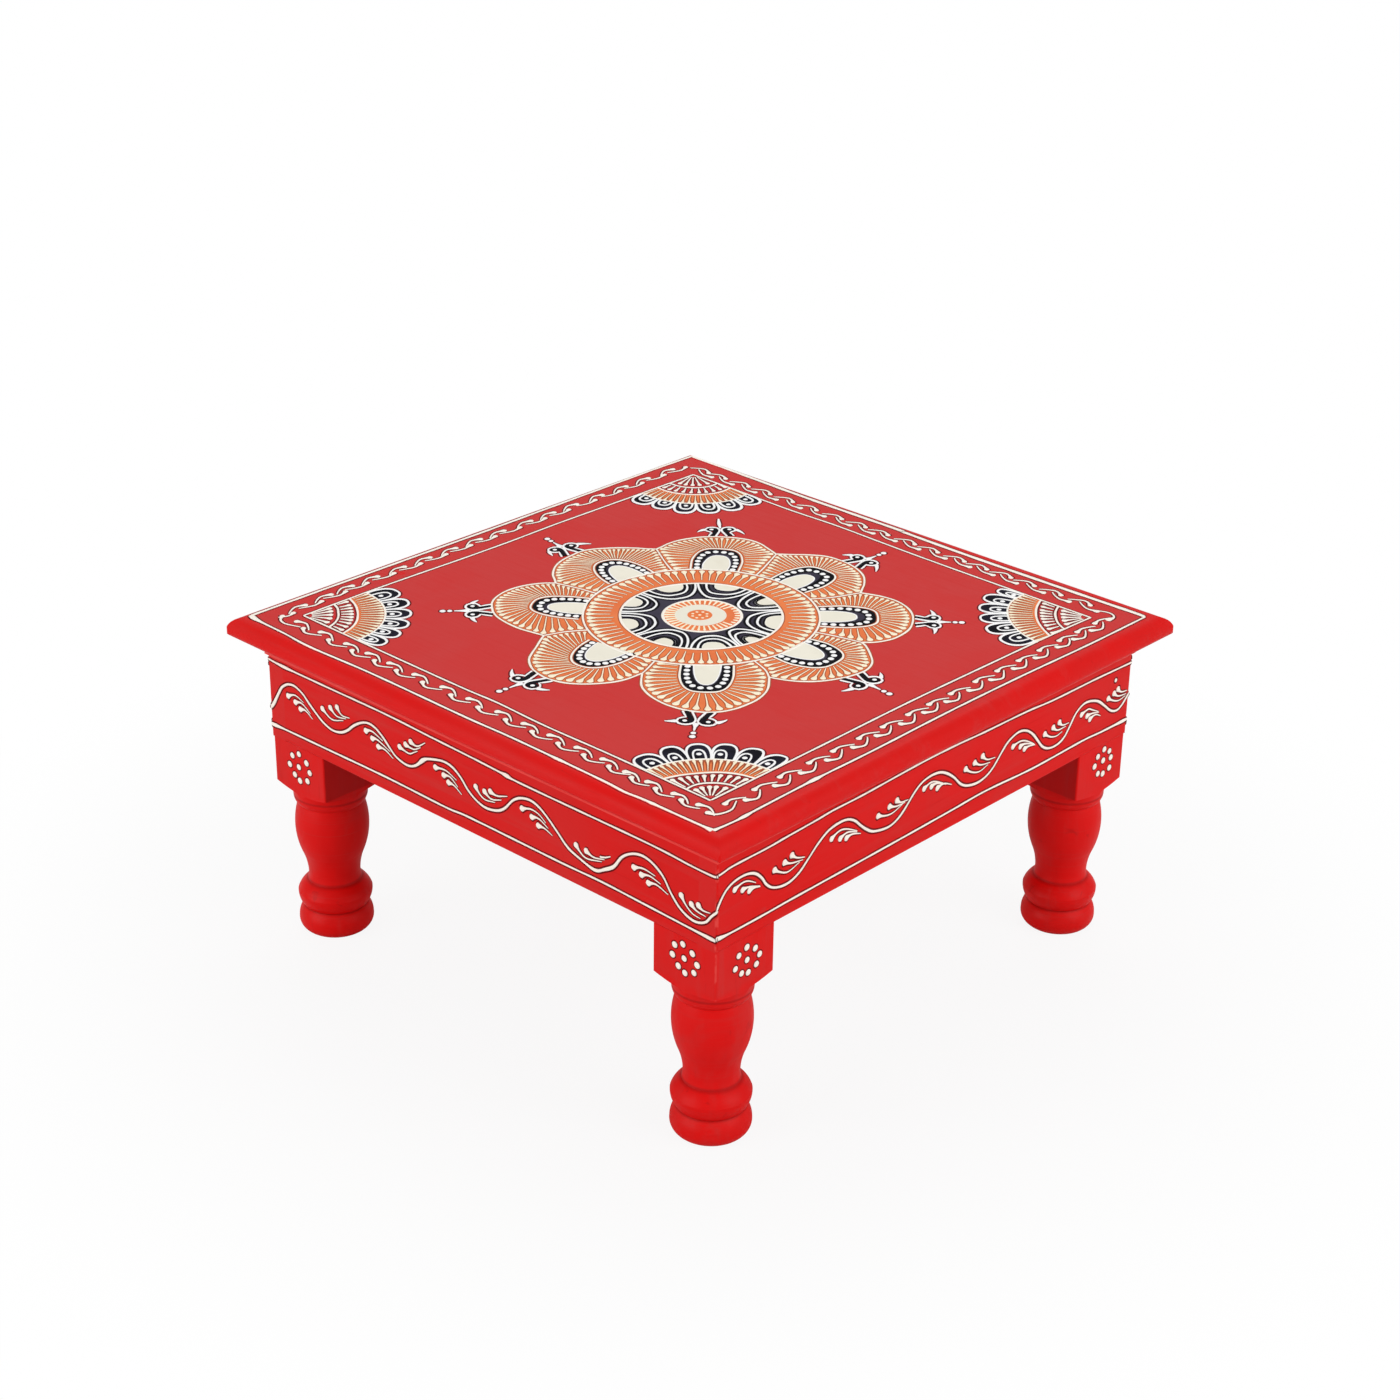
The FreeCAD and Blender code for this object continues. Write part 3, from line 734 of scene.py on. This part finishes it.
RIGHT_DROPS = (
    (-129.7, -34.5, -125.5, -33, -121.5, -33.3, -116.5, -36), (-125, -36.3, -121, -36.3, -114, -38.5),
    (-121, -38.3, -117.5, -38, -113.8, -38.9), (-106, -34.3, -102, -37, -97, -38.8, -90, -37),
    (-100, -33.3, -95.5, -35.5, -88, -36.8), (-95.5, -31.5, -92, -34.3, -86.8, -36),
    (-71, -34.3, -66, -32.2, -61, -33, -54, -36.5), (-65.5, -36.3, -60.5, -34.8, -54, -37),
    (-61.5, -37.5, -57.5, -36.8, -51.5, -38.7), (-41.3, -34.4, -36, -36.3, -31, -36.8, -24.5, -35),
    (-34, -32.7, -29, -34.5, -23, -34.8), (-29, -31.3, -26, -33.7, -20.8, -34.3),
    (-11, -33.3, -6.5, -31.7, -2.5, -32.5, 3, -35.3), (-6, -34, -2, -33.5, 5, -36.5),
    (-1.8, -36.3, 3, -35.5, 8.8, -38), (17.5, -33.5, 22, -36.8, 28, -38.8, 34, -37.5),
    (23.7, -32.7, 28.5, -35.7, 35.5, -37), (29.3, -31.3, 33, -34.7, 39, -35.8),
    (51, -35.3, 56, -34.3, 61, -35.5, 67.5, -39.3), (56.5, -37.2, 60.5, -36.8, 68, -39.7),
    (59.8, -39.5, 63, -39, 68.2, -40), (74.5, -36.7, 79, -39.8, 84, -41.3, 88.5, -40.5),
    (80.7, -35.5, 84.5, -38.5, 91, -38.8), (85.3, -34.5, 88.3, -37.3, 93.3, -37.8),
    (102, -37.3, 107.5, -36, 111, -37.5, 116, -40), (106.5, -39.3, 111, -39.3, 116.5, -40.5),
    (109, -42, 113.5, -40.8, 118, -42.8), (122.5, -35.5, 127, -38.2, 132, -39.8, 137, -39),
    (127, -34.3, 131, -37.3, 137.5, -38.2), (130, -33, 133, -35.8, 138, -36.7))


def apron_ornament(quarter, lines, vine, drops, start_shift=0.0, end_shift=0.0):
    """Two lines, the vine between them and its commas; the shifts bring its ends to the next face's."""
    piece, face = vines[quarter], SIDES[quarter]

    def fitted(numbers):
        points = pairs(numbers)
        points[:, 1] += start_shift * np.exp(-((points[:, 0] + FACE) / 9) ** 2)
        points[:, 1] += end_shift * np.exp(-((points[:, 0] - FACE) / 9) ** 2)
        return points

    upper = ((12, 0.3, 5), (158.5, 0.7, 2.2)) if quarter == 0 else ()
    line(piece, face, pairs(lines[0]), 0.47, 0.4, swells=upper)
    line(piece, face, pairs(lines[1]), 0.5, 0.42, step=2.4, swells=((2, 0.5, 4), (276, 0.4, 5)))
    path = smooth_path(fitted(vine))
    swells = [(np.interp(x, path[:, 0], along(path)), extra, reach)
              for x, extra, reach in ((-137, 0.3, 6), (-35, 0.45, 2.4), (71, 0.3, 3), (80, 0.2, 6))]
    line(piece, face, fitted(vine), 0.58, 0.45, step=1.5, swells=swells if quarter == 0 else ())
    for points in drops:
        drop(piece, face, pairs(points), 1.5, 0.5, 0.22, neck=0.85, back=0.7)


apron_ornament(0, FRONT_LINES, FRONT_VINE, FRONT_DROPS)
apron_ornament(1, RIGHT_LINES, RIGHT_VINE, RIGHT_DROPS)
apron_ornament(2, FRONT_LINES, FRONT_VINE, FRONT_DROPS, start_shift=5.5)
apron_ornament(3, RIGHT_LINES, RIGHT_VINE, RIGHT_DROPS, end_shift=-5.5)
drop(vines[0], SIDES[0], ((73.8, -40.7), (77, -39.8), (80, -38.2)), 0.5, 0.45, 0.25)
dot(vines[1], SIDES[1], (128, -28.3), 1.0, 0.55)

# Flowers on the leg blocks
BLOOMS = {
    "front_left": (
        -122, -69.8, -121.5, -63, -116.3, -65.8, -114.3, -70.1, -116.3, -75, -121.7, -76.7, -125.2, -74.7,
        -128.5, -70.5, -126.3, -65.3),
    "front_right": (
        121.5, -69.1, 120.7, -62.8, 126, -65, 128.7, -69.3, 127, -73.6, 122, -75.7, 118.3, -73.9, 115,
        -69.8, 116.2, -64.8),
    "right_front": (
        -120.3, -70.4, -120.6, -64.4, -115.5, -66.9, -112.8, -70.8, -114.6, -74.8, -119.5, -76.6, -123.5,
        -75.4, -127.3, -71.8, -125.3, -66.4),
    "right_back": (
        123.8, -68, 124, -62.3, 128.3, -64.7, 129.8, -68.5, 129.3, -73.7, 124.3, -75, 120.3, -73.6, 117.2,
        -68.8, 119.3, -64.5)}
for quarter, names in enumerate((("front_left", "front_right"), ("right_front", "right_back"),
                                 ("right_front", "front_right"), ("front_left", "right_back"))):
    face = Side(quarter, BLOCK_FACE)
    for name in names:
        for centre in pairs(BLOOMS[name]):
            dot(flowers, face, centre, 1.5 + draw.uniform(-0.08, 0.08), 0.7)


# Materials
class Shader:
    """A material's node tree, or a world's, with short ways to add nodes."""

    def __init__(self, name, world=False):
        self.owner = (bpy.data.worlds if world else bpy.data.materials).new(name)
        self.owner.use_nodes = True
        self.tree = self.owner.node_tree
        self.tree.nodes.clear()
        self.out = self.add("ShaderNodeOutputWorld" if world else "ShaderNodeOutputMaterial")
        self.place = None if world else self.add("ShaderNodeTexCoord").outputs["Object"]

    def add(self, kind, inputs=None, **settings):
        node = self.tree.nodes.new(kind)
        for key, value in settings.items():
            setattr(node, key, value)
        for key, value in (inputs or {}).items():
            if isinstance(value, bpy.types.NodeSocket):
                self.tree.links.new(value, node.inputs[key])
            else:
                node.inputs[key].default_value = value
        return node

    def noise(self, scale, detail, rough, stretch=None, warp=0.0):
        vector = self.place
        if stretch:
            vector = self.add("ShaderNodeMapping", {"Vector": self.place, "Scale": stretch}).outputs[0]
        node = self.add("ShaderNodeTexNoise", {"Vector": vector, "Scale": scale, "Detail": detail,
                                               "Roughness": rough, "Distortion": warp})
        return node.outputs["Fac"]

    def ramp(self, value, low, high, start=0.0, end=1.0):
        """Smoothly from start to end as value goes from low to high."""
        return self.add("ShaderNodeMapRange", {
            "Value": value, "From Min": low, "From Max": high, "To Min": start, "To Max": end},
            interpolation_type="SMOOTHSTEP").outputs["Result"]

    def math(self, kind, a, b=0.0):
        return self.add("ShaderNodeMath", {0: a, 1: b}, operation=kind).outputs[0]

    def times(self, a, b):
        return self.math("MULTIPLY", a, b)

    def mix(self, share, a, b):
        return self.add("ShaderNodeMix", {0: share, 6: a, 7: b}, data_type="RGBA").outputs[2]

    def bump(self, height, strength, distance, under=None):
        inputs = {"Height": height, "Strength": strength, "Distance": distance}
        if under is not None:
            inputs["Normal"] = under
        return self.add("ShaderNodeBump", inputs).outputs["Normal"]

    def finish(self, colour, roughness, normal, specular, metallic=0.0):
        shader = self.add("ShaderNodeBsdfPrincipled", {
            "Base Color": colour, "Roughness": roughness, "Normal": normal,
            "Specular IOR Level": specular, "Metallic": metallic})
        return self.show(shader)

    def show(self, shader):
        self.tree.links.new(shader.outputs[0], self.out.inputs["Surface"])
        return self.owner


def rgb(r, g, b):
    return (r, g, b, 1.0)


RED = rgb(0.65, 0.005, 0.004)
RED_VIVID = rgb(0.70, 0.002, 0.0015)
RED_CHALKY_AND_SHEEN = rgb(0.58, 0.028, 0.026)
RED_DEEP = rgb(0.34, 0.003, 0.003)
RED_WORN_AND_HIGHLIGHT = rgb(0.76, 0.068, 0.058)


def enamel(name, stretch, wear_and_light=None, vivid=0.5, chalk=1.0):
    """Brushed red enamel on wood: patches, brush streaks along the grain, and what the given marks add,
    which on the board and legs include painted light and shade.
    """
    sh = Shader(name)
    patches = sh.noise(26, 4, 0.55, warp=0.6)
    broad = sh.noise(9, 2, 0.5)
    streaks = sh.noise(1, 6, 0.6, stretch=stretch)
    grain = sh.noise(1, 4, 0.65, stretch=tuple(v * 3.1 for v in stretch))
    specks = sh.noise(900, 2, 0.5)
    colour = sh.mix(sh.ramp(patches, 0.38, 0.66, 0, vivid), RED, RED_VIVID)
    for value, low, high, share, tint in (
            (streaks, 0.50, 0.72, 0.55 * chalk, RED_CHALKY_AND_SHEEN),
            (broad, 0.50, 0.75, 0.35 * chalk, RED_CHALKY_AND_SHEEN),
            (grain, 0.60, 0.80, 0.30, RED_DEEP), (specks, 0.70, 0.80, 0.30, RED_DEEP)):
        colour = sh.mix(sh.ramp(value, low, high, 0, share), colour, tint)
    x, y, z = sh.add("ShaderNodeSeparateXYZ", {0: sh.place}).outputs
    ax, ay = sh.math("ABSOLUTE", x), sh.math("ABSOLUTE", y)
    if wear_and_light:
        colour = wear_and_light(sh, colour, ax, ay, z, streaks)
    rough = sh.math("ADD", sh.ramp(patches, 0.3, 0.7, 0.36, 0.48), sh.ramp(grain, 0.4, 0.8, 0, 0.08))
    normal = sh.bump(sh.math("ADD", streaks, sh.times(grain, 0.5)), 0.22, 0.0004)
    normal = sh.bump(specks, 0.06, 0.0002, normal)
    return sh.finish(colour, rough, normal, 0.12)


def corner_wear(sh, colour, ax, ay, z, streaks):
    """Paint rubbed light along the upright corner."""
    corner = sh.ramp(sh.math("MINIMUM", ax, ay), 0.1381, 0.1389)
    broken = sh.ramp(sh.noise(240, 3, 0.6), 0.42, 0.6, 0.0, 0.8)
    rubbed = sh.times(corner, broken)
    return sh.mix(rubbed, colour, RED_WORN_AND_HIGHLIGHT)


def board_painted_light(sh, colour, ax, ay, z, streaks):
    """Painted light: painted sheen makes the flat a duller red, the rounded edge along the front is
    painted brighter, and a painted highlight runs along the lip.
    """
    x, y, _ = sh.add("ShaderNodeSeparateXYZ", {0: sh.place}).outputs
    # Painted light: the rounded edge along the front is painted a brighter, more vivid red
    edge = sh.ramp(z, 0.1560, 0.1540, 0, 0.5)
    colour = sh.mix(sh.times(edge, sh.ramp(y, -0.1462, -0.1476)), colour, RED_VIVID)
    right = sh.math("MAXIMUM", sh.ramp(x, 0.1420, 0.1432), sh.ramp(x, -0.1462, -0.1474))
    front = sh.math("MAXIMUM", sh.ramp(y, 0.1436, 0.1448), sh.ramp(y, -0.1448, -0.1460))
    # Painted sheen: the flat inside the edges is painted a duller red
    flat = sh.math("SUBTRACT", 1.0, sh.math("MAXIMUM", right, front))
    flat = sh.times(flat, sh.ramp(z, 0.1560, 0.1580, 0, 0.8))
    colour = sh.mix(flat, colour, RED_CHALKY_AND_SHEEN)
    # Painted highlight: a lighter band along the lip at the board's lower edge, broken by the streaks
    lip_highlight = sh.math("SUBTRACT", sh.ramp(z, 0.1405, 0.1410), sh.ramp(z, 0.1424, 0.1434))
    lip_highlight = sh.times(lip_highlight, sh.ramp(streaks, 0.36, 0.60, 0.4, 1.0))
    lip_highlight = sh.times(lip_highlight, sh.ramp(sh.math("MAXIMUM", ax, ay), 0.1385, 0.1395))
    return sh.mix(lip_highlight, colour, RED_WORN_AND_HIGHLIGHT)


def long_apron_wear(sh, colour, ax, ay, z, streaks):
    """The boards' ends show end grain on the front and back."""
    end = sh.times(sh.ramp(ay, 0.13935, 0.13945), 0.35)
    colour = sh.mix(end, colour, RED_CHALKY_AND_SHEEN)
    return corner_wear(sh, colour, ax, ay, z, streaks)


def leg_wear_and_shade(sh, colour, ax, ay, z, streaks):
    """Turning marks, thick bright paint low down, and painted shade in the grooves and on the blocks'
    inner faces.
    """
    turned_part = sh.ramp(z, 0.080, 0.076)
    pools = sh.noise(60, 3, 0.55, stretch=(1, 1, 0.7), warp=0.8)
    colour = sh.mix(sh.times(turned_part, sh.ramp(pools, 0.36, 0.58, 0, 0.9)), colour, RED_VIVID)
    rings = sh.noise(1, 3, 0.6, stretch=(6, 6, 1400))
    colour = sh.mix(sh.times(sh.ramp(rings, 0.55, 0.72, 0, 0.3), turned_part), colour, RED_CHALKY_AND_SHEEN)
    smudge = sh.times(sh.ramp(sh.noise(70, 4, 0.65, warp=1.0), 0.62, 0.74, 0, 0.4), turned_part)
    colour = sh.mix(smudge, colour, RED_DEEP)
    # Painted shade: the grooves at these heights are darkened
    for middle, reach in ((0.0130, 0.0011), (0.0262, 0.0014), (0.0714, 0.0010)):
        near = sh.ramp(sh.math("ABSOLUTE", sh.math("SUBTRACT", z, middle)), reach, 0.0001, 0, 0.6)
        colour = sh.mix(near, colour, RED_DEEP)
    # Painted shade: the blocks' faces towards the inside of the table are painted darker
    inner = sh.times(sh.ramp(z, 0.0768, 0.0776), sh.ramp(sh.math("MAXIMUM", ax, ay), 0.1386, 0.1380))
    colour = sh.mix(sh.times(inner, 0.5), colour, RED_DEEP)
    return corner_wear(sh, colour, ax, ay, z, streaks)


def paint(name, main, other, deep, scale, specular=0.3, coarse=30):
    """Hand-laid colour with thin and thick places."""
    sh = Shader(name)
    broad = sh.noise(coarse, 3, 0.55)
    fine = sh.noise(scale, 4, 0.6)
    grit = sh.noise(1400, 2, 0.5)
    colour = sh.mix(sh.ramp(broad, 0.35, 0.65), rgb(*main), rgb(*other))
    colour = sh.mix(sh.ramp(fine, 0.55, 0.78, 0, 0.5), colour, rgb(*deep))
    rough = sh.ramp(fine, 0.3, 0.7, 0.42, 0.55)
    normal = sh.bump(sh.math("ADD", fine, sh.times(grit, 0.4)), 0.25, 0.0003)
    return sh.finish(colour, rough, normal, specular)


enamel_top = enamel("enamel_top", (10, 160, 160), board_painted_light, vivid=0.8, chalk=0.6)
enamel_x = enamel("enamel_along_x", (8, 190, 190), corner_wear)
# Painted sheen: the aprons along y get a more vivid, less chalky red than those along x, though all are
# one paint
enamel_y = enamel("enamel_along_y", (190, 8, 190), long_apron_wear, vivid=0.85, chalk=0.45)
enamel_leg = enamel("enamel_leg", (170, 170, 14), leg_wear_and_shade, vivid=0.9)
enamel_plug = enamel("enamel_plug", (120, 120, 120))
cone_paste = paint("cone_paste", (0.99, 0.93, 0.84), (0.97, 0.91, 0.81), (0.90, 0.78, 0.66), 300)
cone_warm = paint("cone_paste_warm", (0.99, 0.90, 0.68), (0.96, 0.86, 0.63), (0.88, 0.70, 0.46), 300)
cone_white = paint("cone_paste_white", (0.98, 0.98, 0.98), (0.96, 0.96, 0.96), (0.84, 0.83, 0.83), 300)
paint_orange = paint("orange_paint", (0.80, 0.155, 0.022), (0.86, 0.20, 0.035), (0.66, 0.10, 0.016), 160)
paint_navy = paint("navy_paint", (0.033, 0.028, 0.048), (0.047, 0.041, 0.067),
                   (0.028, 0.025, 0.040), 140, specular=0.05)
paint_midnight = paint("midnight_paint", (0.004, 0.004, 0.007), (0.015, 0.014, 0.028),
                       (0.004, 0.004, 0.006), 140, specular=0.02, coarse=60)
edge_black = paint("black_paint", (0.004, 0.004, 0.006), (0.007, 0.006, 0.010),
                   (0.003, 0.003, 0.004), 140, specular=0.02)
# Painted shade for the dark bands beside the strokes
shade_red_paint = paint("painted_shade_dark_red", (0.17, 0.002, 0.003), (0.14, 0.002, 0.003),
                 (0.09, 0.002, 0.003), 200, specular=0.06)
shade_orange_paint = paint("painted_shade_dark_orange", (0.42, 0.095, 0.028), (0.36, 0.075, 0.022),
                    (0.27, 0.05, 0.015), 200, specular=0.1)
paint_cream = paint("cream_paint", (0.88, 0.84, 0.71), (0.85, 0.81, 0.68), (0.77, 0.72, 0.59), 90)


def steel():
    """Plain wire steel."""
    sh = Shader("wire_steel")
    lines = sh.noise(1, 4, 0.6, stretch=(900, 900, 120))
    colour = sh.mix(sh.ramp(lines, 0.35, 0.7), rgb(0.42, 0.42, 0.43), rgb(0.30, 0.29, 0.28))
    return sh.finish(colour, sh.ramp(lines, 0.3, 0.7, 0.3, 0.5), sh.bump(lines, 0.2, 0.0001), 0.5, 1.0)


wire_steel = steel()

NODE_FINISH = {
    "top_board": enamel_top, "apron_front": enamel_x, "apron_back": enamel_x, "apron_left": enamel_y,
    "apron_right": enamel_y, "apron_nail_plugs": enamel_plug, "top_nail_plugs": enamel_plug,
    "apron_nails": wire_steel, "top_nails": wire_steel}
for name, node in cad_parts.items():
    node.data.materials.clear()
    node.data.materials.append(enamel_leg if name.startswith("leg") else NODE_FINISH[name])

for material, smooth, pieces in (
        (cone_paste, True, (mandala, petals, fans, borders, chain, flowers, *vines)),
        (cone_warm, True, (rays, petal_rays, fan_rays, centre_dots)),
        (cone_white, True, (bows, tongues, fleurs, lobe_lines)),
        (shade_red_paint, False, (painted_shade_red,)), (shade_orange_paint, False, (painted_shade_orange,)),
        (edge_black, False, (black_edges, black)), (edge_black, True, (leaves,)),
        (paint_orange, False, (orange,)), (paint_navy, False, (navy,)),
        (paint_midnight, False, (midnight,)), (paint_cream, False, (cream,))):
    for piece in pieces:
        piece.build(material, smooth)

# Floor, light and camera
mesh = bpy.data.meshes.new("floor")
reach, rows = 12.0, 8
grid = np.linspace(-reach, reach, rows + 1)
mesh.from_pydata([(x, y, 0.0) for y in grid for x in grid], [],
                 [(k, k + 1, k + rows + 2, k + rows + 1) for k in range((rows + 1) * rows)
                  if k % (rows + 1) < rows])
floor = put("floor", mesh)

sh = Shader("pale_floor")
diffuse = sh.add("ShaderNodeBsdfDiffuse", {"Color": rgb(0.72, 0.72, 0.72)})
glow = sh.add("ShaderNodeEmission", {"Color": rgb(1, 1, 1), "Strength": 1.0})
seen = sh.add("ShaderNodeLightPath").outputs["Is Camera Ray"]
distance = sh.add("ShaderNodeVectorMath", {0: sh.place}, operation="LENGTH").outputs["Value"]
share = sh.times(seen, sh.ramp(distance, 0.19, 0.42, 0.90, 1.0))
mixed = sh.add("ShaderNodeMixShader", {0: share, 1: diffuse.outputs[0], 2: glow.outputs[0]})
mesh.materials.append(sh.show(mixed))

# The world is a soft light that the camera sees as plain white
sky = Shader("studio", world=True)
soft = sky.add("ShaderNodeBackground", {"Color": rgb(1, 1, 1), "Strength": 0.5})
white = sky.add("ShaderNodeBackground", {"Color": rgb(1, 1, 1), "Strength": 1.0})
seen = sky.add("ShaderNodeLightPath").outputs["Is Camera Ray"]
blend = sky.add("ShaderNodeMixShader", {0: seen, 1: soft.outputs[0], 2: white.outputs[0]})
scene.world = sky.show(blend)


def from_direction(azimuth, elevation, distance):
    """A point at that direction from the table. Azimuth 0 is in front, 90 to the right."""
    a, e = math.radians(azimuth), math.radians(elevation)
    return Vector((math.sin(a) * math.cos(e), -math.cos(a) * math.cos(e), math.sin(e))) * distance


def softbox(name, azimuth, elevation, distance, size, watts):
    lamp = bpy.data.lights.new(name, "AREA")
    lamp.shape, lamp.size, lamp.size_y, lamp.energy = "RECTANGLE", size, size, watts
    box = put(name, lamp)
    box.location = from_direction(azimuth, elevation, distance) + Vector((0, 0, 0.08))
    box.rotation_euler = from_direction(azimuth, elevation, 1).to_track_quat("Z", "Y").to_euler()


softbox("key", 100, 25, 2.2, 1.6, 23)
softbox("fill", -16, 15, 2.4, 1.6, 26)
softbox("rear", 225, 60, 2.4, 1.8, 17)

# The camera as fitted to the photo: its direction, then its distance and offsets in UNIT metres
AZIMUTH, ELEVATION, ROLL = 42.9395, 25.5883, math.radians(0.7946)
UNIT, AWAY, OFFSET_RIGHT, OFFSET_UP = 0.1436, 8.6489, -0.0088, -0.2624
back = from_direction(AZIMUTH, ELEVATION, 1)
level_right = (-back).cross(Vector((0, 0, 1))).normalized()
level_up = level_right.cross(-back)
right = level_right * math.cos(ROLL) + level_up * math.sin(ROLL)
up = -level_right * math.sin(ROLL) + level_up * math.cos(ROLL)
lens_camera = bpy.data.cameras.new("camera")
lens_camera.lens, lens_camera.sensor_width = 70.47, 36
lens_camera.clip_start, lens_camera.clip_end = 0.05, 60
camera = put("camera", lens_camera)
offset = (back * AWAY + right * OFFSET_RIGHT + up * OFFSET_UP) * UNIT
camera.matrix_world = (Matrix.Translation(offset + Vector((0, 0, TOP_Z * MM)))
                       @ Matrix((right, up, back)).transposed().to_4x4())
scene.camera = camera

bpy.context.scene.view_settings.view_transform = "Standard"

bpy.context.view_layer.update()
